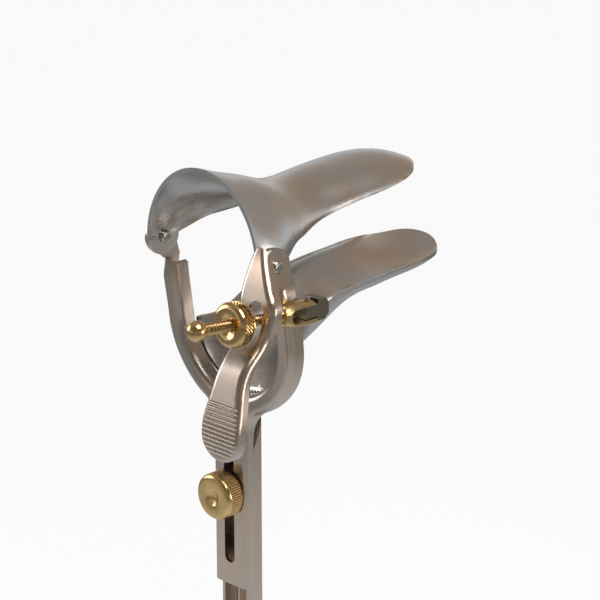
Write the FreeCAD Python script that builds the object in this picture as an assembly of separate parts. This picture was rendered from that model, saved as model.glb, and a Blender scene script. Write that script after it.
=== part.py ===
"""Bivalve vaginal speculum, medium pattern, with its opening and height adjustments.

Millimetres. X is to the right, Y points forward along the blades and Z is up. The origin is the
middle of the flat front face of the handle, where the instrument is gripped. Each piece is drawn
about the hinge axis of the upper blade and put in its place when it is written out.
"""
import FreeCAD
import Part
import math
import os
from FreeCAD import Vector

# Where the hinge axis of the upper blade lies
HINGE_HEIGHT = 125.0          # above the middle of the grip face
GRIP_FORWARD = 14.0           # front face of the handle, ahead of the hinge axis

# Sheet and fits
BLADE_SHEET = 1.2
YOKE_SHEET = 1.2
LEVER_SHEET = 1.2
RUNNING_FIT = 0.06            # radial clearance of a pin or a nut
SLIDING_FIT = 0.2             # clearance of the handle in the stem, each side
HINGE_GAP = 0.3               # between an ear of the collar and the eye of the yoke

# Upper blade
COLLAR_HALF = 24.5            # outer half width of the collar, over the ears
COLLAR_REAR = 6.0             # rear rim of the collar, behind the hinge axis
COLLAR_RISE = 26.3            # top of the rear rim above the hinge axis
EAR_RADIUS = 6.0
EAR_INSET = 0.05              # the flat ear stands this far inside the round of the collar
LEVER_JOINT = 5.0             # how far the ear's rear edge, where the lever starts, runs down
UPPER_REACH = 81.0            # hinge axis to the tip of the upper blade
TIP_LENGTH = 16.5             # length over which the crown of a blade falls to its tip
TIP_ROUND = 24.0              # length over which a blade's sides close to its tip
BLADE_HALF = 17.2             # half width of both blades at their widest
WAIST_HALF = 16.0             # half width of the upper blade at its waist
UPPER_CROWN = 19.5            # highest line of the blade, near its tip
WAIST_CROWN = 17.6            # highest line of the blade, at its waist

# Lower blade
LOWER_REACH = 93.4            # hinge axis to the tip of the lower blade
LOWER_KEEL = 22.2             # lowest line of the blade, below the hinge axis
LOWER_RIM = 15.9              # edge of the blade, below the hinge axis
THROAT_HALF = 22.3            # half width of the flared rear end
THROAT_RIM = 28.8             # edge of the flared end, below the hinge axis
THROAT_KEEL = 48.2            # bottom of the flared end, below the hinge axis
LOWER_WAIST = 15.2            # half width of the lower blade at its waist

# Yoke
ARM_FLARE = 1.5               # how far the arms stand out below their eyes
ARM_HALF = COLLAR_HALF + HINGE_GAP + YOKE_SHEET + ARM_FLARE    # outer half width over the arms
ARM_WEB = 6.5                 # width of an arm seen from behind
ARM_DEPTH = 6.2               # depth of an arm from its rear face to its front edge
ARM_TOP = 7.0                 # top of the arms, below the hinge axis
ARM_LEAN = 2.9                # how far the top of the arms stands behind the stem
EYE_RADIUS = 5.6
YOKE_BEND = 2.3               # outer radius of the rear bends
CROTCH_CENTRE = 27.0          # centre of the yoke's round bottom, below the hinge axis
STEM_HALF = 7.5
STEM_BACK = 4.4               # rear face of the stem, ahead of the hinge axis
STEM_DEPTH = 3.5
STEM_END = 112.0              # lower end of the stem, below the hinge axis
STEM_FILLET = 8.0
SLOT_WIDTH = 4.4
SLOT_TOP = 65.5               # upper end of the stem's slot, below the hinge axis
SLOT_LENGTH = 39.0

# Handle
HANDLE_TOP = 52.0             # seam between handle and lower blade, below the hinge axis
HANDLE_END = 150.0            # lower end of the handle, below the hinge axis
HANDLE_BEND = 2.0
STUD_DROP = 80.0              # axis of the lock stud, below the hinge axis
STUD_RADIUS = 2.0
LOCK_NUT_RADIUS = 7.5
LOCK_NUT_LENGTH = 6.4
LOCK_WASHER = 0.8

# Rivets of the hinge
RIVET_RADIUS = 1.3
RIVET_HEAD = 2.0
RIVET_DOME = 1.3
RIVET_SLACK = 0.22            # between the inner head and the flat of the ear

# Thumb lever
LEVER_DEPTH = 4.0             # depth of the lever from its rear face to its front edge
LEVER_TOP = 7.0               # upper end of the lever, above the hinge axis
LEVER_TOP_BACK = 6.6          # rear face of the lever at its upper end, behind the hinge axis
KNEE_BACK = 14.8              # rear face of the lever at its knee, behind the hinge axis
KNEE_DROP = 14.4              # knee of the lever, below the hinge axis
PAD_BACK = 29.2               # rear face of the lever at its pad, behind the hinge axis
LEVER_SHOULDER = COLLAR_HALF + 13.5    # outer edge of the lever at its shoulder
NECK_INNER = COLLAR_HALF + 0.5
NECK_OUTER = COLLAR_HALF + 12.1
PAD_RADIUS = 7.7
PAD_DROP = 44.4               # middle of the pad's round end, below the hinge axis
LEVER_BEND = 1.9
SERRATIONS = 12
SERRATION_PITCH = 1.3
SERRATION_RADIUS = 0.55
ROD_SLOT_WIDTH = 6.2
ROD_SLOT_TOP = 6.3
ROD_SLOT_END = 19.0

# Threaded rod of the opening adjustment
ROD_SIDE = ARM_HALF + 3.7     # rod axis, right of the middle
ROD_RADIUS = 1.55             # root of the thread
THREAD_DEPTH = 0.3
BALL_RADIUS = 3.05
BALL_BACK = 36.7              # centre of the ball, behind the hinge axis
BALL_DROP = 9.95              # centre of the ball, below the hinge axis
ROD_SLOPE = 5.7               # degrees that the rod falls towards the front
NUT_RADIUS = 6.7
NUT_LENGTH = 4.5
NUT_FROM_BALL = 12.9          # centre of the ball to the rear face of the nut
COLLAR_RING_LENGTH = 3.0
COLLAR_RING_RADIUS = 4.4
COLLAR_RING_NOSE = 2.9

# Fork and lug on the right arm
FORK_BACK = 3.4               # rear face of the fork, behind the hinge axis
FORK_WIDTH = 5.0
FORK_HEIGHT = 7.6
FORK_LENGTH = 12.9
FORK_SLIT = 8.4
FORK_ROUND = 2.4              # radius of the fork's rear corners, seen from the side
TONGUE_START = 5.3            # rear edge of the lug, ahead of the hinge axis
TONGUE_HEIGHT = 3.9
LUG_HEAD_HEIGHT = 6.7
LUG_HEAD_LENGTH = 4.7
PIN_RADIUS = 0.9
LUG_CHAMFER = 1.7
PIN_FROM_FORK_END = 1.8

# Drawing aids
ARCH_STEPS = 12
TIP_STEPS = 16
PAST = 1.0                    # how far a cut runs past the piece that it cuts


def line(first, last):
    return Part.makeLine(first, last)


def arc(first, middle, last):
    return Part.Arc(first, middle, last).toShape()


def curve(points, first=None, last=None):
    """Smooth curve through the points, leaving along first and arriving along last if given."""
    spline = Part.BSplineCurve()
    if first is None:
        spline.interpolate(Points=points)
    else:
        spline.interpolate(Points=points, InitialTangent=first, FinalTangent=last)
    return spline.toShape()


def prism(edges, travel):
    """Solid made by pushing a closed outline along a vector."""
    return Part.Face(Part.Wire(edges)).extrude(travel)


def box(x0, x1, y0, y1, z0, z1):
    return Part.makeBox(x1 - x0, y1 - y0, z1 - z0, Vector(x0, y0, z0))


def rod(radius, start, direction, length):
    return Part.makeCylinder(radius, length, start, direction)


def fused(first, *others):
    """One solid from overlapping ones."""
    return first.fuse(list(others))


def edge_places(edge):
    """Five places along an edge."""
    return [edge.valueAt(edge.FirstParameter + share * (edge.LastParameter - edge.FirstParameter))
            for share in (0.0, 0.25, 0.5, 0.75, 1.0)]


def rounded_where(solid, radius, chosen):
    """Fillet every edge all of whose places pass the test."""
    edges = [edge for edge in solid.Edges if all(chosen(place) for place in edge_places(edge))]
    return solid.makeFillet(radius, edges)


def bent(solid, radius, low, high):
    """Round the bends at the rear of a pressed piece, and leave its cut ends between low and high."""
    seen = {}
    for face in solid.Faces:
        u0, u1, v0, v1 = face.ParameterRange
        if face.normalAt(0.5 * (u0 + u1), 0.5 * (v0 + v1)).y < -0.55:
            for edge in face.Edges:
                seen.setdefault(edge.hashCode(), []).append(edge)
    edges = []
    for shared in seen.values():
        places = edge_places(shared[0])
        ends = min(place.z for place in places) < low or max(place.z for place in places) > high
        if len(shared) == 1 and not (ends and abs(places[0].z - places[-1].z) < 3.0):
            edges.append(shared[0])
    return solid.makeFillet(radius, edges)


def domed_head(radius, height, start, outward):
    """Low domed rivet head on a face at start."""
    head = rod(radius, start, outward, height)
    crown = start + outward * height
    rim = [edge for edge in head.Edges
           if all(abs((place - crown).dot(outward)) < 0.01 for place in edge_places(edge))]
    return head.makeFillet(0.8 * height, rim)


def arch_curve(forward, half, rim, peak):
    """Half an ellipse across the blade, from one rim over the peak to the other rim."""
    angles = [math.pi * step / ARCH_STEPS for step in range(ARCH_STEPS + 1)]
    return curve([Vector(half * math.cos(angle), forward, rim + (peak - rim) * math.sin(angle))
                  for angle in angles])


def arch_section(forward, half, rim, peak, sheet):
    """Closed outline of the sheet cut across the blade."""
    inner_peak = peak - math.copysign(sheet, peak - rim)
    outer = arch_curve(forward, half, rim, peak)
    inner = arch_curve(forward, half - sheet, rim, inner_peak)
    right = line(Vector(half, forward, rim), Vector(half - sheet, forward, rim))
    left = line(Vector(-half, forward, rim), Vector(sheet - half, forward, rim))
    return Part.Wire([outer, left, inner, right])


def bowl_section(forward, half, rim, peak, sheet):
    """Closed outline of the space inside the blade."""
    inner_peak = peak - math.copysign(sheet, peak - rim)
    inner = arch_curve(forward, half - sheet, rim, inner_peak)
    return Part.Wire([inner, line(Vector(sheet - half, forward, rim), Vector(half - sheet, forward, rim))])


def tip_outline(reach, rear, low, high):
    """Upright block with the plan of a blade, whose sides close smoothly to its rounded tip."""
    start = reach - TIP_ROUND
    side = COLLAR_HALF + PAST
    half = BLADE_HALF + 0.03
    turns = [math.pi * step / TIP_STEPS for step in range(TIP_STEPS + 1)]
    end = curve([Vector(half * math.cos(turn), start + TIP_ROUND * max(0.0, math.sin(turn)) ** (2 / 3), low)
                 for turn in turns])
    right = Vector(half, start, low)
    left = Vector(-half, start, low)
    edges = [end, line(left, Vector(-side, start, low)),
             line(Vector(-side, start, low), Vector(-side, rear, low)),
             line(Vector(-side, rear, low), Vector(side, rear, low)),
             line(Vector(side, rear, low), Vector(side, start, low)), line(Vector(side, start, low), right)]
    return prism(Part.__sortEdges__(edges), Vector(0, 0, high - low))


def upper_stations():
    """Place, half width, rim and crown of the sheet across the upper blade."""
    start = UPPER_REACH - TIP_LENGTH
    waist = 0.5 * start
    return [(-COLLAR_REAR, COLLAR_HALF, 0.0, COLLAR_RISE),
            (0.0, COLLAR_HALF, 0.0, COLLAR_RISE - 1.9),
            (EAR_RADIUS, COLLAR_HALF - 0.4, 0.4, COLLAR_RISE - 3.6),
            (0.4 * waist, COLLAR_HALF - 3.2, 3.6, COLLAR_RISE - 5.5),
            (0.62 * waist, WAIST_HALF + 3.0, 5.2, WAIST_CROWN + 0.9),
            (0.8 * waist, WAIST_HALF + 0.9, 6.3, WAIST_CROWN),
            (1.06 * waist, WAIST_HALF, 8.0, WAIST_CROWN),
            (1.35 * waist, 0.5 * (WAIST_HALF + BLADE_HALF), 9.7, WAIST_CROWN + 0.7),
            (1.7 * waist, BLADE_HALF, 11.2, UPPER_CROWN - 0.5),
            (start, BLADE_HALF, UPPER_CROWN - 8.0, UPPER_CROWN),
            (start + 0.5 * TIP_LENGTH, BLADE_HALF, UPPER_CROWN - 8.8, UPPER_CROWN - 0.5),
            (UPPER_REACH + 2.0, BLADE_HALF, UPPER_CROWN - 12.0, UPPER_CROWN - 3.9)]


def lower_stations():
    """Place, half width, rim and keel of the sheet across the lower blade."""
    start = LOWER_REACH - TIP_LENGTH
    rear = throat_rear()
    run = start - rear
    return [(rear, THROAT_HALF, -THROAT_RIM, -THROAT_KEEL),
            (rear + 0.05 * run, THROAT_HALF - 1.8, -THROAT_RIM + 0.6, -THROAT_KEEL + 3.0),
            (rear + 0.11 * run, THROAT_HALF - 4.5, -THROAT_RIM + 2.2, -THROAT_KEEL + 6.2),
            (rear + 0.185 * run, LOWER_WAIST + 0.6, -THROAT_RIM + 6.0, -THROAT_KEEL + 8.9),
            (rear + 0.28 * run, LOWER_WAIST, -LOWER_RIM - 4.0, -THROAT_KEEL + 12.0),
            (rear + 0.37 * run, LOWER_WAIST + 0.4, -LOWER_RIM - 2.9, -LOWER_KEEL - 9.8),
            (rear + 0.46 * run, BLADE_HALF - 0.9, -LOWER_RIM - 2.1, -LOWER_KEEL - 4.8),
            (rear + 0.585 * run, BLADE_HALF - 0.2, -LOWER_RIM - 1.1, -LOWER_KEEL - 1.6),
            (rear + 0.81 * run, BLADE_HALF, -LOWER_RIM, -LOWER_KEEL),
            (start, BLADE_HALF, -LOWER_RIM + 1.2, -LOWER_KEEL + 1.0),
            (start + 0.55 * TIP_LENGTH, BLADE_HALF, -LOWER_RIM + 3.7, -LOWER_KEEL + 3.8),
            (LOWER_REACH + 1.6, BLADE_HALF, -LOWER_RIM + 9.4, -LOWER_KEEL + 9.8)]


def throat_rear():
    """Rear edge of the lower blade, just ahead of the arms."""
    return GRIP_FORWARD - BLADE_SHEET - 0.8


def hinge_bore():
    return rod(RIVET_RADIUS + RUNNING_FIT, Vector(-ARM_HALF, 0, 0), Vector(1, 0, 0), 2 * ARM_HALF)


def make_upper_blade():
    sections = [arch_section(*station, BLADE_SHEET) for station in upper_stations()]
    sheet = Part.makeLoft(sections, True, False)
    sheet = sheet.common(tip_outline(UPPER_REACH, -COLLAR_REAR, -EAR_RADIUS, COLLAR_RISE + 5.0))
    ears = []
    for side in (1, -1):
        inner = COLLAR_HALF - BLADE_SHEET - EAR_INSET
        disc = rod(EAR_RADIUS, Vector(side * inner, 0, 0), Vector(side, 0, 0), BLADE_SHEET)
        near, far = sorted((side * inner, side * (inner + BLADE_SHEET)))
        ears.append(disc.common(box(near, far, -COLLAR_REAR, EAR_RADIUS, -EAR_RADIUS, 1.0)))
        if side == 1:
            ears.append(box(near, far, -COLLAR_REAR, -1.0, -LEVER_JOINT, 1.0))
    return fused(sheet, *ears).cut(hinge_bore())


def make_lower_blade():
    stations = lower_stations()
    sheet = Part.makeLoft([arch_section(*station, BLADE_SHEET) for station in stations], True, False)
    sheet = sheet.common(tip_outline(LOWER_REACH, throat_rear(), -THROAT_KEEL - 1.0, 0.0))
    bowl = Part.makeLoft([bowl_section(*station, BLADE_SHEET) for station in stations[:6]], True, False)
    front = GRIP_FORWARD
    back = GRIP_FORWARD - BLADE_SHEET
    foot = -HANDLE_TOP
    top = -THROAT_KEEL + 6.0
    neck_edges = [line(Vector(0, back, foot), Vector(0, front, foot)),
                  curve([Vector(0, front, foot), Vector(0, front + 0.5, foot + 3.2),
                         Vector(0, front + 2.6, foot + 6.6), Vector(0, front + 6.5, foot + 9.4)]),
                  line(Vector(0, front + 6.5, foot + 9.4), Vector(0, front + 4.0, top)),
                  line(Vector(0, front + 4.0, top), Vector(0, back, top)),
                  line(Vector(0, back, top), Vector(0, back, foot))]
    half = handle_half()
    neck = prism(neck_edges, Vector(2 * half, 0, 0))
    neck.translate(Vector(-half, 0, 0))
    return fused(sheet, neck.cut(bowl))


def handle_half():
    return STEM_HALF - YOKE_SHEET - SLIDING_FIT


def channel_edges(half, back, front, radius, height):
    """Outline of a channel seen along Z, rounded at its front corners."""
    start = Vector(-half, back, height)
    left = Vector(-half, front - radius, height)
    left_top = Vector(radius - half, front, height)
    right_top = Vector(half - radius, front, height)
    right = Vector(half, front - radius, height)
    end = Vector(half, back, height)
    bulge = radius * (1.0 - math.sqrt(0.5))
    return [line(start, left), arc(left, Vector(bulge - half, front - bulge, height), left_top),
            line(left_top, right_top), arc(right_top, Vector(half - bulge, front - bulge, height), right),
            line(right, end), line(end, start)]


def make_handle():
    half = handle_half()
    back = STEM_BACK + YOKE_BEND + SLIDING_FIT
    length = HANDLE_END - HANDLE_TOP
    outer = prism(channel_edges(half, back, GRIP_FORWARD, HANDLE_BEND, -HANDLE_END), Vector(0, 0, length))
    inner = prism(channel_edges(half - BLADE_SHEET, back - 1.0, GRIP_FORWARD - BLADE_SHEET,
                                HANDLE_BEND - BLADE_SHEET, -HANDLE_END), Vector(0, 0, length))
    web = GRIP_FORWARD - BLADE_SHEET
    relief = -HANDLE_TOP - 4.5
    shoulder = [line(Vector(-half, back, -HANDLE_TOP), Vector(-half, web, -HANDLE_TOP)),
                line(Vector(-half, web, -HANDLE_TOP), Vector(-half, web, relief)),
                curve([Vector(-half, web, relief), Vector(-half, web - 1.2, relief - 4.5),
                       Vector(-half, back + 2.5, relief - 9.0), Vector(-half, back, relief - 14.0)]),
                line(Vector(-half, back, relief - 14.0), Vector(-half, back, -HANDLE_TOP))]
    toe = 4.0
    corner = [line(Vector(-half, back, -HANDLE_END), Vector(-half, back, -HANDLE_END + toe)),
              arc(Vector(-half, back, -HANDLE_END + toe),
                  Vector(-half, back + toe * (1 - math.sqrt(0.5)), -HANDLE_END + toe * (1 - math.sqrt(0.5))),
                  Vector(-half, back + toe, -HANDLE_END)),
              line(Vector(-half, back + toe, -HANDLE_END), Vector(-half, back, -HANDLE_END))]
    across = Vector(2 * half, 0, 0)
    hole = rod(STUD_RADIUS, Vector(0, back, -STUD_DROP), Vector(0, 1, 0), GRIP_FORWARD)
    return outer.cut([inner, prism(shoulder, across), prism(corner, across), hole])


def yoke_outline(inset, height):
    """The yoke seen from behind, pulled in by inset all round, at one place along Y."""
    outer = ARM_HALF - inset
    inner = ARM_HALF - ARM_WEB + inset
    top_outer = COLLAR_HALF + HINGE_GAP + YOKE_SHEET - inset
    stem = STEM_HALF - inset
    fillet = STEM_FILLET + inset
    centre = -CROTCH_CENTRE
    reach = outer + fillet
    side = stem + fillet
    fillet_z = centre - math.sqrt(reach ** 2 - side ** 2)
    touch = outer / reach
    shoulder = (side * touch, centre + (fillet_z - centre) * touch)
    bulge = math.sqrt(0.5)
    entry = math.atan2(centre - shoulder[1], shoulder[0]) / 2
    swing = math.atan2(centre - fillet_z, side) / 2
    stem_middle = (side - fillet * math.cos(swing), fillet_z + fillet * math.sin(swing))
    past = PAST if inset else 0.0
    end = -STEM_END - past
    top_in = -ARM_TOP - 2.5 + past
    top_out = -ARM_TOP + past
    edges = []
    for sign in (1, -1):
        def at(x, z):
            return Vector(sign * x, height, z)
        edges += [line(at(inner, centre), at(inner, top_in)), line(at(inner, top_in), at(top_outer, top_out)),
                  curve([at(top_outer, top_out), at(0.5 * (top_outer + outer), -ARM_TOP - 4.0),
                         at(outer, -ARM_TOP - 8.0)], Vector(0, 0, -1), Vector(0, 0, -1)),
                  line(at(outer, -ARM_TOP - 8.0), at(outer, centre)),
                  arc(at(outer, centre), at(outer * math.cos(entry), centre - outer * math.sin(entry)),
                      at(*shoulder)),
                  arc(at(*shoulder), at(*stem_middle), at(stem, fillet_z)),
                  line(at(stem, fillet_z), at(stem, end)),
                  line(at(stem, end), Vector(0, height, end)),
                  arc(at(inner, centre), at(inner * bulge, centre - inner * bulge),
                      Vector(0, height, centre - inner))]
    return Part.__sortEdges__(edges)


def down_the_yoke(share):
    """Height at a share of the way from the top of the arms to the top of the slot."""
    return -ARM_TOP - share * (SLOT_TOP - ARM_TOP)


def yoke_rear(shift):
    """Places down the rear face of the yoke, seen from the side, moved forward by shift."""
    places = [(-0.034, 1.0), (0.085, 0.93), (0.29, 0.345), (0.495, -0.1), (0.665, -0.275), (0.855, -0.07),
              (1.0, 0.0)]
    return [Vector(0, STEM_BACK - lean * ARM_LEAN + shift, down_the_yoke(share)) for share, lean in places]


def yoke_front():
    """Places down the front edges of the yoke, seen from the side."""
    places = [(-0.034, 1.0), (0.085, 0.93), (0.29, 0.345), (0.495, -0.035), (0.665, -0.07), (0.8, 0.41)]
    front = STEM_BACK + ARM_DEPTH
    arm = [Vector(0, front - lean * ARM_LEAN, down_the_yoke(share)) for share, lean in places]
    return arm + [Vector(0, STEM_BACK + STEM_DEPTH, -SLOT_TOP)]


def side_band(rear, front, low):
    """Block as wide as the yoke between two curves seen from the side, carried straight to low."""
    rear_end = Vector(0, rear[-1].y, low)
    front_end = Vector(0, front[-1].y, low)
    edges = [curve(rear), line(rear[-1], rear_end), line(rear_end, front_end), line(front_end, front[-1]),
             curve(front), line(front[0], rear[0])]
    band = prism(Part.__sortEdges__(edges), Vector(2 * ARM_HALF + 4, 0, 0))
    band.translate(Vector(-ARM_HALF - 2, 0, 0))
    return band


def make_yoke():
    far = [Vector(0, GRIP_FORWARD, yoke_front()[0].z), Vector(0, GRIP_FORWARD, -SLOT_TOP)]
    across = Vector(0, GRIP_FORWARD + 5.0, 0)
    body = prism(yoke_outline(0.0, -2.0), across).common(
        side_band(yoke_rear(0.0), yoke_front(), -STEM_END - 5.0))
    body = bent(body, YOKE_BEND, -STEM_END + 1.0, -ARM_TOP - 3.5)
    hollow = prism(yoke_outline(YOKE_SHEET, -2.0), across).common(
        side_band(yoke_rear(YOKE_SHEET), far, -STEM_END - 5.0))
    hollow = bent(hollow, YOKE_BEND - YOKE_SHEET, -STEM_END + 1.0, -ARM_TOP - 3.5)
    yoke = body.cut(hollow)
    inner = COLLAR_HALF + HINGE_GAP
    back = yoke_rear(0.0)[0].y
    front = yoke_front()[0].y
    eye = rod(EYE_RADIUS, Vector(inner, 0, 0), Vector(1, 0, 0), YOKE_SHEET)
    neck = prism([line(Vector(inner, -EYE_RADIUS, 0), Vector(inner, EYE_RADIUS, 0)),
                  line(Vector(inner, EYE_RADIUS, 0), Vector(inner, front, -ARM_TOP)),
                  line(Vector(inner, front, -ARM_TOP), Vector(inner, front, -ARM_TOP - 0.8)),
                  line(Vector(inner, front, -ARM_TOP - 0.8), Vector(inner, back, -ARM_TOP - 0.8)),
                  line(Vector(inner, back, -ARM_TOP - 0.8), Vector(inner, -EYE_RADIUS, 0))],
                 Vector(YOKE_SHEET, 0, 0))
    plate = eye.fuse(neck)
    mirrored = plate.mirror(Vector(0, 0, 0), Vector(1, 0, 0))
    slot = stadium_slot(0.0, SLOT_WIDTH, -SLOT_TOP, -SLOT_TOP - SLOT_LENGTH)
    bores = rod(RIVET_RADIUS, Vector(-ARM_HALF, 0, 0), Vector(1, 0, 0), 2 * ARM_HALF)
    return fused(yoke, plate, mirrored).cut([slot, bores])


def stadium_slot(middle, width, high, low):
    """Upright slot with round ends, cut from well behind to well ahead."""
    radius = width / 2
    start = -BALL_BACK - BALL_RADIUS
    length = GRIP_FORWARD - BLADE_SHEET - PAST - start
    forward = Vector(0, 1, 0)
    upper = rod(radius, Vector(middle, start, high - radius), forward, length)
    lower = rod(radius, Vector(middle, start, low + radius), forward, length)
    body = box(middle - radius, middle + radius, start, start + length, low + radius, high - radius)
    return upper.fuse([lower, body])


def make_rivet(side):
    """Rivet headed over inside the ear and outside the eye, tight in the eye."""
    outward = Vector(side, 0, 0)
    ear_inside = COLLAR_HALF - BLADE_SHEET - EAR_INSET - RIVET_SLACK
    eye_outside = COLLAR_HALF + HINGE_GAP + YOKE_SHEET
    shank = rod(RIVET_RADIUS, Vector(side * ear_inside, 0, 0), outward, eye_outside - ear_inside)
    outer_head = domed_head(RIVET_HEAD, RIVET_DOME, Vector(side * eye_outside, 0, 0), outward)
    inner_head = domed_head(RIVET_HEAD, RIVET_DOME, Vector(side * ear_inside, 0, 0), outward * -1)
    return fused(shank, outer_head, inner_head)


def between(first, last, shares):
    """Places seen from the side, each a share of the way back and a share of the way down."""
    return [Vector(0, first.y + back * (last.y - first.y), first.z + down * (last.z - first.z))
            for back, down in shares]


def lever_rear(shift):
    """Places down the rear face of the lever, seen from the side, moved forward by shift."""
    top = Vector(0, shift - LEVER_TOP_BACK, LEVER_TOP)
    knee = Vector(0, shift - KNEE_BACK, -KNEE_DROP)
    pad = Vector(0, shift - PAD_BACK, -PAD_DROP - 0.34 * PAD_RADIUS)
    upper = between(top, knee, [(0.0, 0.0), (0.5, 0.327), (0.817, 0.654)])
    lower = between(knee, pad, [(0.0, 0.0), (0.201, 0.135), (0.465, 0.245), (0.701, 0.411), (0.847, 0.617),
                                (0.972, 0.816), (1.0, 1.0)])
    return upper + lower + [Vector(0, pad.y + 0.4, -PAD_DROP - PAD_RADIUS - PAST)]


def lever_rear_at(height):
    """Rear face of the lever at one height."""
    face_line = curve(lever_rear(0.0))
    level = line(Vector(0, -BALL_BACK, height), Vector(0, 0, height))
    return face_line.distToShape(level)[1][0][0].y


def lever_outline(inset):
    """The lever seen from behind, pulled in by inset all round."""
    y = -BALL_BACK - BALL_RADIUS
    top = LEVER_TOP - inset
    inner_top = COLLAR_HALF - LEVER_SHEET + inset
    middle = 0.5 * (NECK_INNER + NECK_OUTER)
    pad = PAD_RADIUS - inset
    neck_in = NECK_INNER + inset
    neck_out = NECK_OUTER - inset
    shoulder = LEVER_SHOULDER - inset
    run = LEVER_TOP + PAD_DROP
    right = [Vector(side, y, LEVER_TOP - share * run) for side, share in
             [(shoulder - 1.0, 0.253 + inset / run), (shoulder, 0.311), (neck_out + 0.3, 0.447),
              (neck_out, 0.564), (neck_out + 0.1, 0.7), (middle + pad - 0.5, 0.856), (middle + pad, 1.0)]]
    left = [Vector(side, y, LEVER_TOP - share * run) for side, share in
            [(inner_top, 0.253), (inner_top + 0.4, 0.35), (neck_in, 0.506), (neck_in, 0.681),
             (middle - pad + 0.5, 0.856), (middle - pad, 1.0)]]
    apex_left = Vector(inner_top, y, top)
    apex_right = Vector(COLLAR_HALF - LEVER_SHEET + 2 * LEVER_BEND + 0.5 - inset, y, top)
    down = Vector(0, 0, -1)
    edges = [line(apex_left, apex_right), line(apex_right, right[0]), curve(right),
             arc(right[-1], Vector(middle, y, -PAD_DROP - pad), left[-1]), curve(left, down, down),
             line(left[0], apex_left)]
    return Part.__sortEdges__(edges)


def lever_band(rear, front):
    edges = [curve(rear), line(rear[-1], front[-1]), curve(front), line(front[0], rear[0])]
    return prism(Part.__sortEdges__(edges), Vector(2 * ARM_HALF, 0, 0))


def make_lever():
    across = Vector(0, BALL_BACK + BALL_RADIUS, 0)
    body = prism(lever_outline(0.0), across).common(lever_band(lever_rear(0.0), lever_rear(LEVER_DEPTH)))
    body = bent(body, LEVER_BEND, -PAD_DROP - 2 * PAD_RADIUS, LEVER_TOP - 1.0)
    hollow = prism(lever_outline(LEVER_SHEET), across).common(
        lever_band(lever_rear(LEVER_SHEET), lever_rear(LEVER_DEPTH + 5.0)))
    hollow = bent(hollow, LEVER_BEND - LEVER_SHEET, -PAD_DROP - 2 * PAD_RADIUS, LEVER_TOP - 3.0)
    past_ear = box(COLLAR_HALF - 5.0, LEVER_SHOULDER, -COLLAR_REAR, 5.0, -20.0, LEVER_TOP + 1.0)
    slot = stadium_slot(ROD_SIDE, ROD_SLOT_WIDTH, -ROD_SLOT_TOP, -ROD_SLOT_END)
    grooves = []
    for step in range(SERRATIONS):
        drop = -PAD_DROP + 0.6 * PAD_RADIUS - step * SERRATION_PITCH + 5.0
        grooves.append(rod(SERRATION_RADIUS, Vector(COLLAR_HALF - 4.0, lever_rear_at(drop) - 0.15, drop),
                           Vector(1, 0, 0), 2 * PAD_RADIUS + 6.0))
    return body.cut([hollow, past_ear, slot] + grooves)


def rod_direction():
    slope = math.radians(ROD_SLOPE)
    return Vector(0, math.cos(slope), -math.sin(slope))


def rod_place(along):
    """Point on the rod's axis, measured forward from the middle of the ball."""
    return Vector(ROD_SIDE, -BALL_BACK, -BALL_DROP) + rod_direction() * along


def fork_base():
    """Distance from the middle of the ball to the rear face of the fork."""
    return (BALL_BACK - FORK_BACK) / math.cos(math.radians(ROD_SLOPE))


def make_threaded_rod():
    start = BALL_RADIUS * 0.9
    return rod(ROD_RADIUS, rod_place(start), rod_direction(), fork_base() + 0.5 - start).cut(fork_block())


def make_ball():
    return Part.makeSphere(BALL_RADIUS, rod_place(0.0)).cut(
        rod(ROD_RADIUS, rod_place(BALL_RADIUS * 0.9), rod_direction(), BALL_RADIUS))


def nut_bore():
    return rod(ROD_RADIUS + THREAD_DEPTH + RUNNING_FIT, rod_place(0.0), rod_direction(), 2 * BALL_BACK)


def make_blade_nut():
    rear = rod_place(NUT_FROM_BALL)
    disc = rod(NUT_RADIUS, rear, rod_direction(), NUT_LENGTH)
    disc = disc.makeChamfer(0.5, [disc.Edges[0], disc.Edges[2]])
    dish = Part.makeCone(0.55 * NUT_RADIUS, ROD_RADIUS + THREAD_DEPTH, 1.4, rear, rod_direction())
    return disc.cut([dish, nut_bore()])


def make_nut_ring():
    start = rod_place(NUT_FROM_BALL + NUT_LENGTH + 0.1)
    ring = Part.makeCone(COLLAR_RING_RADIUS, COLLAR_RING_NOSE, COLLAR_RING_LENGTH, start, rod_direction())
    return ring.cut(nut_bore())


def pin_forward():
    """Axis of the fork's pin, ahead of the hinge axis."""
    return FORK_LENGTH - FORK_BACK - PIN_FROM_FORK_END


def fork_drop():
    return -rod_place(fork_base() + FORK_LENGTH / 2).z


def fork_block():
    """The fork before its slit and its pin hole are cut."""
    half = FORK_WIDTH / 2
    drop = -fork_drop()
    block = box(ROD_SIDE - half, ROD_SIDE + half, -FORK_BACK, FORK_LENGTH - FORK_BACK,
                drop - FORK_HEIGHT / 2, drop + FORK_HEIGHT / 2)
    return rounded_where(block, FORK_ROUND, lambda place: abs(place.y + FORK_BACK) < 0.01
                         and abs(abs(place.z - drop) - FORK_HEIGHT / 2) < 0.01)


def make_fork():
    drop = -fork_drop()
    front = FORK_LENGTH - FORK_BACK
    gap = TONGUE_HEIGHT / 2 + SLIDING_FIT
    slit = box(ROD_SIDE - FORK_WIDTH, ROD_SIDE + FORK_WIDTH, front - FORK_SLIT, front + 1.0,
               drop - gap, drop + gap)
    root = rod(gap, Vector(ROD_SIDE - FORK_WIDTH, front - FORK_SLIT, drop), Vector(1, 0, 0), 2 * FORK_WIDTH)
    hole = rod(PIN_RADIUS + RUNNING_FIT, Vector(ROD_SIDE, pin_forward(), drop - FORK_HEIGHT), Vector(0, 0, 1),
               2 * FORK_HEIGHT)
    return fork_block().cut([slit, root, hole])


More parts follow.
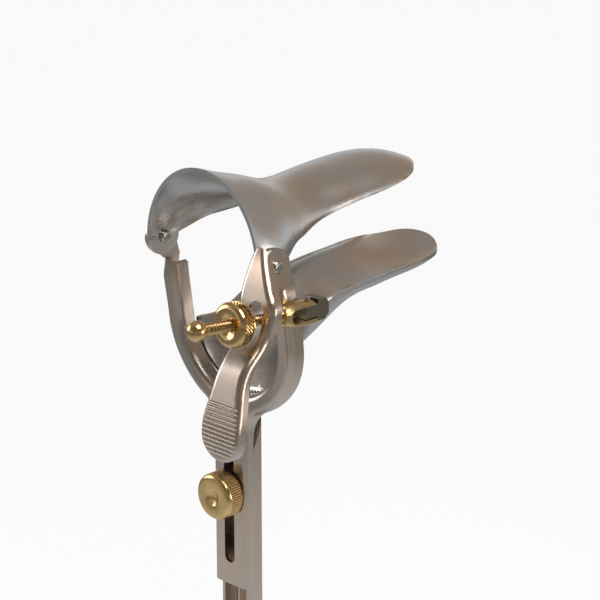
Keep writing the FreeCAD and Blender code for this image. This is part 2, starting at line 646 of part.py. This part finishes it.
def make_pin():
    drop = -fork_drop()
    return rod(PIN_RADIUS, Vector(ROD_SIDE, pin_forward(), drop - FORK_HEIGHT / 2 - 0.4), Vector(0, 0, 1),
               FORK_HEIGHT + 0.8)


def make_lug():
    drop = -fork_drop()
    end = FORK_LENGTH - FORK_BACK + 0.7
    width = ROD_SIDE + FORK_WIDTH / 2 - 0.6 - ARM_HALF
    tongue = box(ARM_HALF, ARM_HALF + width, TONGUE_START, end + 0.5, drop - TONGUE_HEIGHT / 2,
                 drop + TONGUE_HEIGHT / 2)
    head = box(ARM_HALF, ARM_HALF + width, end, end + LUG_HEAD_LENGTH, drop - LUG_HEAD_HEIGHT / 2,
               drop + LUG_HEAD_HEIGHT / 2)
    nose = [edge for edge in head.Edges if all(
        abs(place.y - end - LUG_HEAD_LENGTH) < 0.01 and abs(abs(place.z - drop) - LUG_HEAD_HEIGHT / 2) < 0.01
        for place in edge_places(edge))]
    head = head.makeChamfer(LUG_CHAMFER, nose)
    hole = rod(PIN_RADIUS, Vector(ROD_SIDE, pin_forward(), drop - FORK_HEIGHT), Vector(0, 0, 1),
               2 * FORK_HEIGHT)
    return fused(tongue, head).cut(hole)


def make_lock_stud():
    back = STEM_BACK - LOCK_WASHER - LOCK_NUT_LENGTH + 2.0
    forward = Vector(0, 1, 0)
    shank = rod(STUD_RADIUS, Vector(0, back, -STUD_DROP), forward, GRIP_FORWARD - back)
    flange = rod(STUD_RADIUS + 1.4, Vector(0, GRIP_FORWARD - BLADE_SHEET - 1.0, -STUD_DROP), forward, 1.0)
    return fused(shank, flange)


def make_lock_washer():
    start = Vector(0, STEM_BACK - LOCK_WASHER - RUNNING_FIT, -STUD_DROP)
    forward = Vector(0, 1, 0)
    return rod(LOCK_NUT_RADIUS - 2.2, start, forward, LOCK_WASHER).cut(
        rod(STUD_RADIUS + RUNNING_FIT, start, forward, LOCK_WASHER))


def make_lock_nut():
    front = STEM_BACK - LOCK_WASHER - 2 * RUNNING_FIT
    back = front - LOCK_NUT_LENGTH
    forward = Vector(0, 1, 0)
    nut = rod(LOCK_NUT_RADIUS, Vector(0, back, -STUD_DROP), forward, LOCK_NUT_LENGTH)
    nut = rounded_where(nut, 1.6, lambda place: abs(place.y - back) < 0.01)
    bore = rod(STUD_RADIUS + RUNNING_FIT, Vector(0, back + 1.8, -STUD_DROP), forward, LOCK_NUT_LENGTH)
    dish = Part.makeCone(3.0, 1.2, 1.2, Vector(0, back, -STUD_DROP), forward)
    return nut.cut([bore, dish])


def write(name, shape):
    shape = shape.copy()
    shape.translate(Vector(0, -GRIP_FORWARD, HINGE_HEIGHT))
    shape.exportStep("parts/" + name + ".step")
    print(name, "solids", len(shape.Solids), "valid", shape.isValid(), "volume", round(shape.Volume, 1))


os.makedirs("parts", exist_ok=True)
write("upper_blade", make_upper_blade())
write("lower_blade", make_lower_blade())
write("handle", make_handle())
write("yoke_frame", make_yoke())
write("thumb_lever", make_lever())
write("hinge_rivet_right", make_rivet(1))
write("hinge_rivet_left", make_rivet(-1))
write("threaded_rod", make_threaded_rod())
write("rod_ball", make_ball())
write("blade_nut", make_blade_nut())
write("nut_washer", make_nut_ring())
write("rod_clevis", make_fork())
write("clevis_pin", make_pin())
write("rod_lug", make_lug())
write("lock_stud", make_lock_stud())
write("lock_washer", make_lock_washer())
write("lock_nut", make_lock_nut())
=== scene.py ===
import bmesh
import bpy
import math
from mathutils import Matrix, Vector


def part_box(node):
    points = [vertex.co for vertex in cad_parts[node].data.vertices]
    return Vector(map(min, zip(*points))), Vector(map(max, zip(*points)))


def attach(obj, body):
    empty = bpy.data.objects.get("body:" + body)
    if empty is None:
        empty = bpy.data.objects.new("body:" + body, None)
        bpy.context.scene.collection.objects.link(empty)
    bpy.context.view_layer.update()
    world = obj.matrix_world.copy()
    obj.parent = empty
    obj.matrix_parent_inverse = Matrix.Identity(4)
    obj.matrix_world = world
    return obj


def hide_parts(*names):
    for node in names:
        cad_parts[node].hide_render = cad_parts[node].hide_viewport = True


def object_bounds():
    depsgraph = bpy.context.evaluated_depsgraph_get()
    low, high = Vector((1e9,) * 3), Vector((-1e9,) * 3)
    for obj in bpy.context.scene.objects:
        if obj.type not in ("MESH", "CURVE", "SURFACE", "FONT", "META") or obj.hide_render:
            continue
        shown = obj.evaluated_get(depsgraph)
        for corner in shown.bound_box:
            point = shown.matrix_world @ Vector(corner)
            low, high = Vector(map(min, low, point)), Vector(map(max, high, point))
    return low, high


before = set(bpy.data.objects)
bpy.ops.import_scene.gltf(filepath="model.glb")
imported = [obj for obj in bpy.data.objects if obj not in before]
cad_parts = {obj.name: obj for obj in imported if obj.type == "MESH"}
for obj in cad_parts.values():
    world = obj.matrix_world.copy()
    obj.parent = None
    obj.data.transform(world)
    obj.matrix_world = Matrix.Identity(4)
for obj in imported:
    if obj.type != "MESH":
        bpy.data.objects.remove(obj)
cad_box = [list(corner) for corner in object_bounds()]

# The view. The photograph looks at the instrument from behind, from its right and from a little
# above, through a long lens, with the hinge left of the middle of the frame.
AZIMUTH = math.radians(44.5)
ELEVATION = math.radians(17.4)
FRAME_PIXELS = 600
FOCAL_PIXELS = 2000
SENSOR_WIDTH = 36.0
HINGE = Vector((0.0, -0.014, 0.125))
HINGE_PIXEL = (215.7, 250.1)
HINGE_DEPTH = 0.604

toward = Vector((math.sin(AZIMUTH) * math.cos(ELEVATION), -math.cos(AZIMUTH) * math.cos(ELEVATION),
                 math.sin(ELEVATION)))
rightward = Vector((math.cos(AZIMUTH), math.sin(AZIMUTH), 0.0))
upward = toward.cross(rightward)
aside = (HINGE_PIXEL[0] - FRAME_PIXELS / 2) / FOCAL_PIXELS * HINGE_DEPTH
above = (FRAME_PIXELS / 2 - HINGE_PIXEL[1]) / FOCAL_PIXELS * HINGE_DEPTH
lens = bpy.data.cameras.new("camera")
lens.sensor_width = SENSOR_WIDTH
lens.lens = SENSOR_WIDTH * FOCAL_PIXELS / FRAME_PIXELS
lens.clip_start = 0.01
camera = bpy.data.objects.new("camera", lens)
camera.location = HINGE - rightward * aside - upward * above + toward * HINGE_DEPTH
camera.rotation_euler = toward.to_track_quat("Z", "Y").to_euler()
bpy.context.scene.collection.objects.link(camera)
bpy.context.scene.camera = camera
bpy.context.scene.view_settings.view_transform = "Standard"


class Wire:
    """A socket of a node tree, so that sums of values read as sums."""

    def __init__(self, finish, socket):
        self.finish = finish
        self.socket = socket

    def made(self, operation, first, second):
        return self.finish.node("ShaderNodeMath", {0: first, 1: second}, operation=operation)

    def __add__(self, other):
        return self.made("ADD", self, other)

    def __radd__(self, other):
        return self.made("ADD", other, self)

    def __mul__(self, other):
        return self.made("MULTIPLY", self, other)

    def __rmul__(self, other):
        return self.made("MULTIPLY", other, self)


class Finish:
    """The node tree of a material or of the world."""

    def __init__(self, owner):
        owner.use_nodes = True
        self.owner = owner
        self.tree = owner.node_tree
        self.tree.nodes.clear()

    def node(self, kind, inputs, output=0, **settings):
        """Add a node with its settings and inputs, and hand back one of its outputs, if it has any."""
        made = self.tree.nodes.new(kind)
        for name, value in settings.items():
            if name == "stops":
                ramp = made.color_ramp.elements
                ramp[0].position, ramp[0].color = value[0][0], (*value[0][1], 1.0)
                ramp[-1].position, ramp[-1].color = value[-1][0], (*value[-1][1], 1.0)
                for place, colour in value[1:-1]:
                    ramp.new(place).color = (*colour, 1.0)
            else:
                setattr(made, name, value)
        for name, value in inputs.items():
            if isinstance(value, Wire):
                self.tree.links.new(value.socket, made.inputs[name])
            else:
                made.inputs[name].default_value = value
        return Wire(self, made.outputs[output]) if made.outputs else None


# The room. A white sweep fills the frame behind the instrument, and soft white panels above and
# beside it light it, with the dim side of the room behind the camera for the metal to show.
world = Finish(bpy.data.worlds.new("room"))
bpy.context.scene.world = world.owner
seen = world.node("ShaderNodeLightPath", {}, output="Is Camera Ray")
mirrored = world.node("ShaderNodeLightPath", {}, output="Is Glossy Ray")
around = world.node("ShaderNodeTexCoord", {}, output="Generated")
height = world.node("ShaderNodeSeparateXYZ", {0: around}, output="Z")
depth = world.node("ShaderNodeVectorMath", {0: around, 1: tuple(toward)}, output="Value",
                   operation="DOT_PRODUCT")
dim_side = world.node("ShaderNodeValToRGB", {0: depth * 0.5 + 0.5},
                      stops=[(0.50, (1.0, 1.0, 1.0)), (0.92, (0.40, 0.39, 0.38))])
by_height = world.node("ShaderNodeValToRGB", {0: height * 0.5 + 0.5},
                       stops=[(0.0, (0.46, 0.40, 0.35)), (0.48, (1.0, 1.0, 1.0)),
                              (0.56, (0.70, 0.72, 0.74)), (0.68, (0.44, 0.37, 0.31)),
                              (0.90, (0.36, 0.29, 0.24)), (1.0, (0.52, 0.48, 0.45))])
shade = world.node("ShaderNodeMix", {0: 1.0, 6: by_height, 7: dim_side}, output=2, data_type="RGBA",
                   blend_type="MULTIPLY")
plain = world.node("ShaderNodeBackground", {"Color": (1.0, 1.0, 1.0, 1.0), "Strength": 1.0})
reflected = world.node("ShaderNodeBackground", {"Color": shade, "Strength": 0.9})
ambient = world.node("ShaderNodeBackground", {"Color": (0.97, 0.99, 1.0, 1.0), "Strength": 0.78})
lighting = world.node("ShaderNodeMixShader", {0: mirrored, 1: ambient, 2: reflected})
sky = world.node("ShaderNodeMixShader", {0: seen, 1: lighting, 2: plain})
world.node("ShaderNodeOutputWorld", {0: sky})


def panel(name, place, size, power, colour):
    """Soft square lamp that faces the hinge."""
    lamp = bpy.data.lights.new(name, "AREA")
    lamp.shape = "SQUARE"
    lamp.size = size
    lamp.energy = power
    lamp.color = colour
    holder = bpy.data.objects.new(name, lamp)
    holder.location = place
    holder.rotation_euler = (Vector(place) - HINGE).to_track_quat("Z", "Y").to_euler()
    bpy.context.scene.collection.objects.link(holder)


panel("key_panel", (0.35, -0.05, 0.75), 0.45, 3.2, (1.0, 0.98, 0.95))
panel("side_panel", (-0.65, -0.35, 0.30), 0.40, 1.6, (0.95, 0.97, 1.0))
panel("low_panel", (0.70, 0.25, 0.05), 0.35, 1.2, (1.0, 0.96, 0.90))

# The floor. A pale sheet lies under the instrument and fades into a darker table, which the upright
# steel mirrors, while the camera sees the floor nearly as white as the sweep.
FLOOR_SPREAD = 3.0
FLOOR_GAP = 0.0005
SHEET_RADIUS = 0.04
TABLE_RADIUS = 0.34
GLOW_SHARE = 0.94
floor_height = cad_box[0][2] - FLOOR_GAP
floor_mesh = bpy.data.meshes.new("floor")
floor_mesh.from_pydata([(x * FLOOR_SPREAD, y * FLOOR_SPREAD, floor_height)
                        for x, y in ((-1, -1), (1, -1), (1, 1), (-1, 1))], [], [(0, 1, 2, 3)])
floor = bpy.data.objects.new("floor", floor_mesh)
bpy.context.scene.collection.objects.link(floor)
paper = Finish(bpy.data.materials.new("pale_floor"))
direct = paper.node("ShaderNodeLightPath", {}, output="Is Camera Ray")
spot = paper.node("ShaderNodeTexCoord", {}, output="Object")
reach = paper.node("ShaderNodeVectorMath", {0: spot}, output="Value", operation="LENGTH")
sheet_end = paper.node("ShaderNodeMapRange", {"Value": reach, "From Min": SHEET_RADIUS,
                                              "From Max": TABLE_RADIUS})
sheet = paper.node("ShaderNodeBsdfDiffuse", {"Color": (0.56, 0.58, 0.60, 1.0)})
table = paper.node("ShaderNodeBsdfDiffuse", {"Color": (0.19, 0.18, 0.17, 1.0)})
matte = paper.node("ShaderNodeMixShader", {0: sheet_end, 1: sheet, 2: table})
glow = paper.node("ShaderNodeEmission", {"Color": (1.0, 1.0, 1.0, 1.0), "Strength": 1.0})
shown = paper.node("ShaderNodeMixShader", {0: direct * GLOW_SHARE, 1: matte, 2: glow})
paper.node("ShaderNodeOutputMaterial", {0: shown})
floor_mesh.materials.append(paper.owner)


# The pressed steel: both blades, the yoke, the handle and the lever. It is stainless sheet,
# pressed, tumbled and satin polished, with fine scratches that run along each piece.
def satin_steel(name, grain, warm, cool, rough):
    """Satin steel whose scratches are as fine along each axis as grain says."""
    finish = Finish(bpy.data.materials.new(name))
    place = finish.node("ShaderNodeTexCoord", {}, output="Object")
    along = finish.node("ShaderNodeMapping", {"Vector": place, "Scale": grain})
    cloud = finish.node("ShaderNodeTexNoise", {"Vector": place, "Scale": 38.0, "Detail": 2.0})
    brushing = finish.node("ShaderNodeTexNoise", {"Vector": along, "Scale": 1.0, "Detail": 6.0,
                                                  "Roughness": 0.7})
    scratch = finish.node("ShaderNodeTexNoise", {"Vector": along, "Scale": 0.35, "Detail": 3.0,
                                                 "Distortion": 0.6})
    lines = finish.node("ShaderNodeMapRange", {"Value": scratch, "From Min": 0.60, "From Max": 0.68})
    patch = finish.node("ShaderNodeMapRange", {"Value": cloud, "From Min": 0.38, "From Max": 0.64})
    colour = finish.node("ShaderNodeMix", {0: patch, 6: (*warm, 1.0), 7: (*cool, 1.0)},
                         output=2, data_type="RGBA")
    worn = finish.node("ShaderNodeMix", {0: lines * 0.10, 6: colour, 7: (0.74, 0.71, 0.67, 1.0)},
                       output=2, data_type="RGBA")
    relief = brushing * 0.7 + lines * 0.3
    bump = finish.node("ShaderNodeBump", {"Height": relief, "Strength": 0.004, "Distance": 0.0002})
    surface = finish.node("ShaderNodeBsdfPrincipled", {
        "Base Color": worn, "Metallic": 1.0, "Roughness": rough + 0.08 * brushing + 0.06 * patch,
        "Normal": bump})
    finish.node("ShaderNodeOutputMaterial", {0: surface})
    return finish.owner


def dress(node, material):
    """Give a CAD piece its finish."""
    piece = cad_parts[node]
    piece.data.materials.clear()
    piece.data.materials.append(material)


BLADE_GRAIN = (520.0, 30.0, 520.0)
BLADE_WARM = (0.63, 0.56, 0.50)
BLADE_COOL = (0.55, 0.58, 0.60)
FRAME_GRAIN = (520.0, 520.0, 40.0)
FRAME_WARM = (0.60, 0.48, 0.39)
FRAME_COOL = (0.46, 0.42, 0.38)
blade_steel = satin_steel("blade_steel", BLADE_GRAIN, BLADE_WARM, BLADE_COOL, 0.21)
frame_steel = satin_steel("frame_steel", FRAME_GRAIN, FRAME_WARM, FRAME_COOL, 0.20)
for pressed in ("yoke_frame", "handle", "thumb_lever"):
    dress(pressed, frame_steel)

# The blades. Each is one pressing whose rim sweeps in a smooth line to its rounded end, where the
# edge is filed and polished; the last of that sweep is trimmed here from the solid.
CARVED_CREASE = math.radians(30)
MM_PER_METRE = 1000
SWEEP_STEPS = 24
TRIM_HALF_WIDTH = 0.03
UPPER_RIM = ((50.0, 10.62), (63.0, 12.2), (76.5, 14.62))
UPPER_TRIM_END = -12.0
LOWER_RIM = ((60.0, -16.05), (74.0, -15.2), (87.0, -14.42))
LOWER_TRIM_END = 5.0


def smooth(mesh, crease):
    """Shade a mesh smooth, with sharp edges where its faces meet at more than crease."""
    for face in mesh.polygons:
        face.use_smooth = True
    mesh.set_sharp_from_angle(angle=crease)


def carved(name, node, body, material, corners, faces, operation):
    """Copy of a CAD piece that a closed shape is taken from or keeps a part of."""
    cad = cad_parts[node]
    piece = bpy.data.objects.new(name, cad.data.copy())
    piece.matrix_world = cad.matrix_world
    bpy.context.scene.collection.objects.link(piece)
    block = bpy.data.meshes.new(name + "_shape")
    block.from_pydata(corners, [], faces)
    fix = bmesh.new()
    fix.from_mesh(block)
    bmesh.ops.recalc_face_normals(fix, faces=fix.faces)
    fix.to_mesh(block)
    fix.free()
    shape = bpy.data.objects.new(name + "_shape", block)
    bpy.context.scene.collection.objects.link(shape)
    cut = piece.modifiers.new("cut", "BOOLEAN")
    cut.object = shape
    cut.operation = operation
    cut.solver = "EXACT"
    shaped = bpy.data.meshes.new_from_object(piece.evaluated_get(bpy.context.evaluated_depsgraph_get()))
    piece.modifiers.clear()
    bpy.data.objects.remove(shape)
    shaped.materials.clear()
    shaped.materials.append(material)
    smooth(shaped, CARVED_CREASE)
    piece.data = shaped
    flats = piece.modifiers.new("flats", "WEIGHTED_NORMAL")
    flats.keep_sharp = True
    flats.weight = 100
    piece.data = bpy.data.meshes.new_from_object(piece.evaluated_get(bpy.context.evaluated_depsgraph_get()))
    piece.modifiers.clear()
    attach(piece, body)
    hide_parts(node)


def blade(name, node, body, rim, trim_end):
    """Blade cleared from a curved rim to trim_end; places are in mm forward of and above the hinge."""
    outline = []
    for step in range(SWEEP_STEPS + 1):
        share = step / SWEEP_STEPS
        weights = ((1 - share) ** 2, 2 * share * (1 - share), share ** 2)
        outline.append([sum(weight * place[part] for weight, place in zip(weights, rim)) / MM_PER_METRE
                        for part in (0, 1)])
    outline += [[place[0] / MM_PER_METRE, trim_end / MM_PER_METRE] for place in (rim[-1], rim[0])]
    corners = [(side * TRIM_HALF_WIDTH, HINGE.y + forward, HINGE.z + up)
               for side in (-1, 1) for forward, up in outline]
    count = len(outline)
    sides = [(step, (step + 1) % count, count + (step + 1) % count, count + step) for step in range(count)]
    ends = [tuple(range(count)), tuple(range(2 * count - 1, count - 1, -1))]
    carved(name, node, body, blade_steel, corners, sides + ends, "DIFFERENCE")


blade("smooth_upper_blade", "upper_blade", "upper", UPPER_RIM, UPPER_TRIM_END)
blade("smooth_lower_blade", "lower_blade", "handle_body", LOWER_RIM, LOWER_TRIM_END)

# The hinge rivets, the stud and the fork's pin. They are turned stainless steel, brighter than the
# sheet, and each rivet is headed over on both sides of its ear.
# Painted shade: colour factors that darken the sunk grooves of threads and knurls.
GROOVE_SHADE = (0.30, 0.22, 0.14)


def polished(name, colour, rough, mottle):
    """Turned metal with a mottled colour, with painted shade darkening it where its relief is sunk."""
    finish = Finish(bpy.data.materials.new(name))
    place = finish.node("ShaderNodeTexCoord", {}, output="Object")
    cloud = finish.node("ShaderNodeTexNoise", {"Vector": place, "Scale": 260.0, "Detail": 4.0})
    fine = finish.node("ShaderNodeTexNoise", {"Vector": place, "Scale": 2600.0, "Detail": 3.0})
    darker = tuple(part * (1.0 - mottle) for part in colour)
    groove = finish.node("ShaderNodeAttribute", {}, output="Fac", attribute_name="groove")
    unshaded = finish.node("ShaderNodeMix", {0: cloud, 6: (*colour, 1.0), 7: (*darker, 1.0)},
                        output=2, data_type="RGBA")
    # Painted shade in the grooves: the colour darkens towards this shade colour as deep as the relief is
    # sunk.
    groove_shade_colour = tuple(part * kept for part, kept in zip(colour, GROOVE_SHADE))
    tint = finish.node("ShaderNodeMix", {0: groove * 0.9, 6: unshaded, 7: (*groove_shade_colour, 1.0)},
                       output=2, data_type="RGBA")
    bump = finish.node("ShaderNodeBump", {"Height": fine, "Strength": 0.06, "Distance": 0.0001})
    surface = finish.node("ShaderNodeBsdfPrincipled", {
        "Base Color": tint, "Metallic": 1.0, "Roughness": rough + 0.10 * cloud, "Normal": bump})
    finish.node("ShaderNodeOutputMaterial", {0: surface})
    return finish.owner


rivet_steel = polished("rivet_steel", (0.55, 0.52, 0.48), 0.16, 0.25)
for bright in ("hinge_rivet_left", "hinge_rivet_right", "lock_stud", "clevis_pin"):
    dress(bright, rivet_steel)

# The threaded rod. It is turned brass, gold plated, with a rolled thread from the ball to the
# fork, and it is pinned at the fork only.
ROD_SLOPE = math.radians(5.7)
ROD_AXIS = Vector((0.0, math.cos(ROD_SLOPE), -math.sin(ROD_SLOPE)))
BALL_CENTRE = Vector((0.0312, -0.0507, 0.11505))
ROD_RADIUS = 0.0018
ROD_START = 0.0026
ROD_END_GAP = 0.0001
ROD_POINTS = 40
PITCH = 0.0011
THREAD_DEPTH = 0.00042
THREAD_ROWS = 8
TURNED_CREASE = math.radians(38)
# Groove depth at which the painted shade in the grooves is full.
FULL_GROOVE_SHADE_DEPTH = 0.0004


def turned(name, body, material, start, axis, stations, around, relief=None):
    """Surface turned about an axis: stations are (place along, radius), relief changes the radius."""
    side = axis.orthogonal().normalized()
    other = axis.cross(side)
    points = []
    faces = []
    grooves = []
    for along, radius in stations:
        for step in range(around):
            angle = 2 * math.pi * step / around
            sunk = relief(angle, along) if relief else 0.0
            # Painted shade: how deeply each point is sunk, which darkens its colour in the grooves.
            grooves.append(min(1.0, -sunk / FULL_GROOVE_SHADE_DEPTH))
            spoke = side * math.cos(angle) + other * math.sin(angle)
            points.append(start + axis * along + spoke * (radius + sunk))
    for row in range(len(stations) - 1):
        for step in range(around):
            beside = (step + 1) % around
            faces.append((row * around + step, row * around + beside,
                          (row + 1) * around + beside, (row + 1) * around + step))
    faces.append(tuple(reversed(range(around))))
    faces.append(tuple((len(stations) - 1) * around + step for step in range(around)))
    mesh = bpy.data.meshes.new(name)
    mesh.from_pydata(points, [], faces)
    mesh.attributes.new("groove", "FLOAT", "POINT").data.foreach_set("value", grooves)
    mesh.materials.append(material)
    smooth(mesh, TURNED_CREASE)
    piece = bpy.data.objects.new(name, mesh)
    bpy.context.scene.collection.objects.link(piece)
    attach(piece, body)
    return piece


def thread(angle, along):
    """Depth of the rolled thread at one place, negative in its groove."""
    phase = (along / PITCH - angle / (2 * math.pi)) % 1.0
    return -THREAD_DEPTH * abs(2 * phase - 1)


gold = polished("gold_plate", (0.84, 0.58, 0.27), 0.13, 0.30)
rod_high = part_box("threaded_rod")[1]
rod_length = (rod_high[1] - BALL_CENTRE.y) / math.cos(ROD_SLOPE) - ROD_END_GAP
rows = int((rod_length - ROD_START) / PITCH * THREAD_ROWS)
thread_stations = [(ROD_START + (rod_length - ROD_START) * row / rows, ROD_RADIUS)
                   for row in range(rows + 1)]
screw = turned("rod_thread", "rod", gold, BALL_CENTRE, ROD_AXIS, thread_stations, ROD_POINTS,
               thread)
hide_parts("threaded_rod")

# The ball end. It is a turned brass ball, gold plated, on the rear end of the rod, where it keeps
# the nut from running off.
BALL_RADIUS = 0.00305
BALL_POINTS = 48
BALL_ROWS = 26
BALL_FIRST = 0.02
BALL_SWEEP = 0.80
NECK_RADIUS = ROD_RADIUS * 0.86
ball_angles = [math.pi * (BALL_FIRST + BALL_SWEEP * row / BALL_ROWS) for row in range(BALL_ROWS + 1)]
ball_stations = [(-BALL_RADIUS * math.cos(angle), BALL_RADIUS * math.sin(angle)) for angle in ball_angles]
neck_start = ball_stations[-1][0]
ball_stations += [(neck_start + 0.0004, NECK_RADIUS), (neck_start + 0.0009, NECK_RADIUS)]
ball = turned("ball_end", "rod", gold, BALL_CENTRE, ROD_AXIS, ball_stations, BALL_POINTS)
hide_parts("rod_ball")

# The blade nut. It is a gold plated brass disc with a dished rear face and a rounded shoulder, a
# diamond knurl round its middle and a smooth collar in front, and it is spun along the rod's thread
# to hold the lever.
NUT_RADIUS = 0.0067
NUT_LENGTH = 0.0057
NUT_START = 0.0117
NUT_BORE = ROD_RADIUS + 0.00002
KNURL_START = 0.0013
KNURL_END = 0.0044
KNURL_DEPTH = 0.0006
KNURL_TEETH = 38
KNURL_LEAN = 900.0
KNURL_POWER = 0.7
KNURL_ROWS = 24
POINTS_PER_TOOTH = 6


def diamond_knurl(angle, along):
    """Relief of crossed grooves between the two smooth ends of the rim."""
    if not KNURL_START < along < KNURL_END:
        return 0.0
    turn = angle * KNURL_TEETH / (2 * math.pi)
    first = abs(2 * ((turn + along * KNURL_LEAN) % 1.0) - 1)
    second = abs(2 * ((turn - along * KNURL_LEAN) % 1.0) - 1)
    return -KNURL_DEPTH * (1.0 - min(first, second) ** KNURL_POWER)


nut_stations = [(0.0011, NUT_BORE), (0.0004, 0.0028), (0.0, 0.0035), (0.0, NUT_RADIUS - 0.0017),
                (0.0001, NUT_RADIUS - 0.0011), (0.0004, NUT_RADIUS - 0.0006),
                (0.0009, NUT_RADIUS - 0.0002)]
nut_stations += [(KNURL_START + (KNURL_END - KNURL_START) * row / KNURL_ROWS, NUT_RADIUS)
                 for row in range(KNURL_ROWS + 1)]
nut_stations += [(KNURL_END + 0.0002, NUT_RADIUS - 0.0008), (NUT_LENGTH - 0.0003, NUT_RADIUS - 0.0006),
                 (NUT_LENGTH, NUT_RADIUS - 0.0010), (NUT_LENGTH, NUT_BORE)]
nut_origin = BALL_CENTRE + ROD_AXIS * NUT_START
nut = turned("knurled_nut", "nut", gold, nut_origin, ROD_AXIS, nut_stations,
             KNURL_TEETH * POINTS_PER_TOOTH, diamond_knurl)
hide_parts("blade_nut")

# The ring between the nut and the lever. It is turned brass, gold plated, and slides on the rod
# with the nut; its front steps in and tapers towards the slot in the lever.
RING_BORE = ROD_RADIUS + 0.00006
RING_POINTS = 64
ring_start = NUT_LENGTH + 0.0001
ring_stations = [(ring_start, RING_BORE), (ring_start, 0.0041), (ring_start + 0.0003, 0.0044),
                 (ring_start + 0.0009, 0.0044), (ring_start + 0.0011, 0.0040),
                 (ring_start + 0.0026, 0.0031), (ring_start + 0.0030, 0.0028),
                 (ring_start + 0.0030, RING_BORE)]
ring = turned("nut_ring", "nut_slider", gold, nut_origin, ROD_AXIS, ring_stations,
              RING_POINTS)
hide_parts("nut_washer")

# The fork on the front of the rod. It is a milled brass barrel, slit across for the lug and lightly
# gold plated, and it is less polished than the nuts.
FORK_OVERHANG = 0.0004
BARREL_FIT = 1.03
BARREL_ROWS = 24
BARREL_POINTS = 64
REAR_TAPER = 0.36
REAR_POWER = 2.4
FRONT_TAPER = 0.10
FRONT_POWER = 2.0
fork_brass = polished("fork_brass", (0.74, 0.55, 0.26), 0.20, 0.30)
fork_low, fork_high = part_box("rod_clevis")
fork_start = BALL_CENTRE + ROD_AXIS * ((fork_low[1] - BALL_CENTRE.y) / math.cos(ROD_SLOPE) - FORK_OVERHANG)
fork_length = (fork_high[1] - fork_low[1]) / math.cos(ROD_SLOPE) + 2 * FORK_OVERHANG
fork_reach = (fork_high[2] - fork_low[2]) / 2
across = Vector((1.0, 0.0, 0.0))
barrel = []
for row in range(BARREL_ROWS + 1):
    share = row / BARREL_ROWS
    if share < 0.5:
        taper = REAR_TAPER * (1 - 2 * share) ** REAR_POWER
    else:
        taper = FRONT_TAPER * (2 * share - 1) ** FRONT_POWER
    for step in range(BARREL_POINTS):
        angle = 2 * math.pi * step / BARREL_POINTS
        spoke = across * math.cos(angle) + ROD_AXIS.cross(across) * math.sin(angle)
        barrel.append(fork_start + ROD_AXIS * fork_length * share
                      + spoke * fork_reach * BARREL_FIT * (1 - taper))
staves = []
for row in range(BARREL_ROWS):
    first = row * BARREL_POINTS
    second = first + BARREL_POINTS
    for step in range(BARREL_POINTS):
        beside = (step + 1) % BARREL_POINTS
        staves.append((first + step, first + beside, second + beside, second + step))
staves.append(tuple(range(BARREL_POINTS)))
staves.append(tuple(BARREL_ROWS * BARREL_POINTS + step for step in range(BARREL_POINTS)))
carved("barrel_fork", "rod_clevis", "rod", fork_brass, barrel, staves, "INTERSECT")

# The lug on the right arm that the fork is pinned to. It is mild steel brazed to the arm, and its colour is
# painted dark for the shade it sits in and the dark surroundings it mirrors.
shaded_lug_steel = polished("shaded_lug_steel", (0.26, 0.23, 0.18), 0.26, 0.45)
dress("rod_lug", shaded_lug_steel)

# The lock nut and its washer. The nut is a gold plated disc with a straight knurl and a rounded
# polished rear face, and it clamps the stem of the yoke to the handle.
LOCK_AXIS = Vector((0.0, 1.0, 0.0))
LOCK_ROUND = 0.0016
LOCK_ROUND_ROWS = 8
LOCK_RIM_START = 0.0019
LOCK_RIM_END = 0.0004
LOCK_RIM_ROWS = 12
LOCK_TEETH = 60
LOCK_KNURL_START = 0.0018
LOCK_KNURL_END = 0.0002
LOCK_KNURL_DEPTH = 0.0003
LOCK_KNURL_POWER = 0.6
lock_low, lock_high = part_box("lock_nut")
lock_radius = (lock_high[0] - lock_low[0]) / 2
lock_length = lock_high[1] - lock_low[1]
lock_start = Vector((0.0, lock_low[1], (lock_low[2] + lock_high[2]) / 2))
lock_curve = [math.pi / 2 * row / LOCK_ROUND_ROWS for row in range(LOCK_ROUND_ROWS + 1)]
lock_rim = lock_length - LOCK_RIM_START - LOCK_RIM_END
lock_stations = [(0.0011, 0.0002), (0.0010, 0.0014), (0.0002, 0.0026), (0.0, 0.0032)]
lock_stations += [(LOCK_ROUND * (1 - math.cos(angle)),
                   lock_radius - LOCK_ROUND + LOCK_ROUND * math.sin(angle)) for angle in lock_curve]
lock_stations += [(LOCK_RIM_START + lock_rim * row / LOCK_RIM_ROWS, lock_radius)
                  for row in range(LOCK_RIM_ROWS + 1)]
lock_stations += [(lock_length, lock_radius - 0.0004), (lock_length, 0.0021)]


def straight_knurl(angle, along):
    """Relief of straight grooves across the rim."""
    if not LOCK_KNURL_START < along < lock_length - LOCK_KNURL_END:
        return 0.0
    return -LOCK_KNURL_DEPTH * (1.0 - abs(math.sin(angle * LOCK_TEETH / 2)) ** LOCK_KNURL_POWER)


lock = turned("lock_knob", "lock", gold, lock_start, LOCK_AXIS, lock_stations,
              LOCK_TEETH * POINTS_PER_TOOTH, straight_knurl)
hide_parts("lock_nut")
dress("lock_washer", gold)
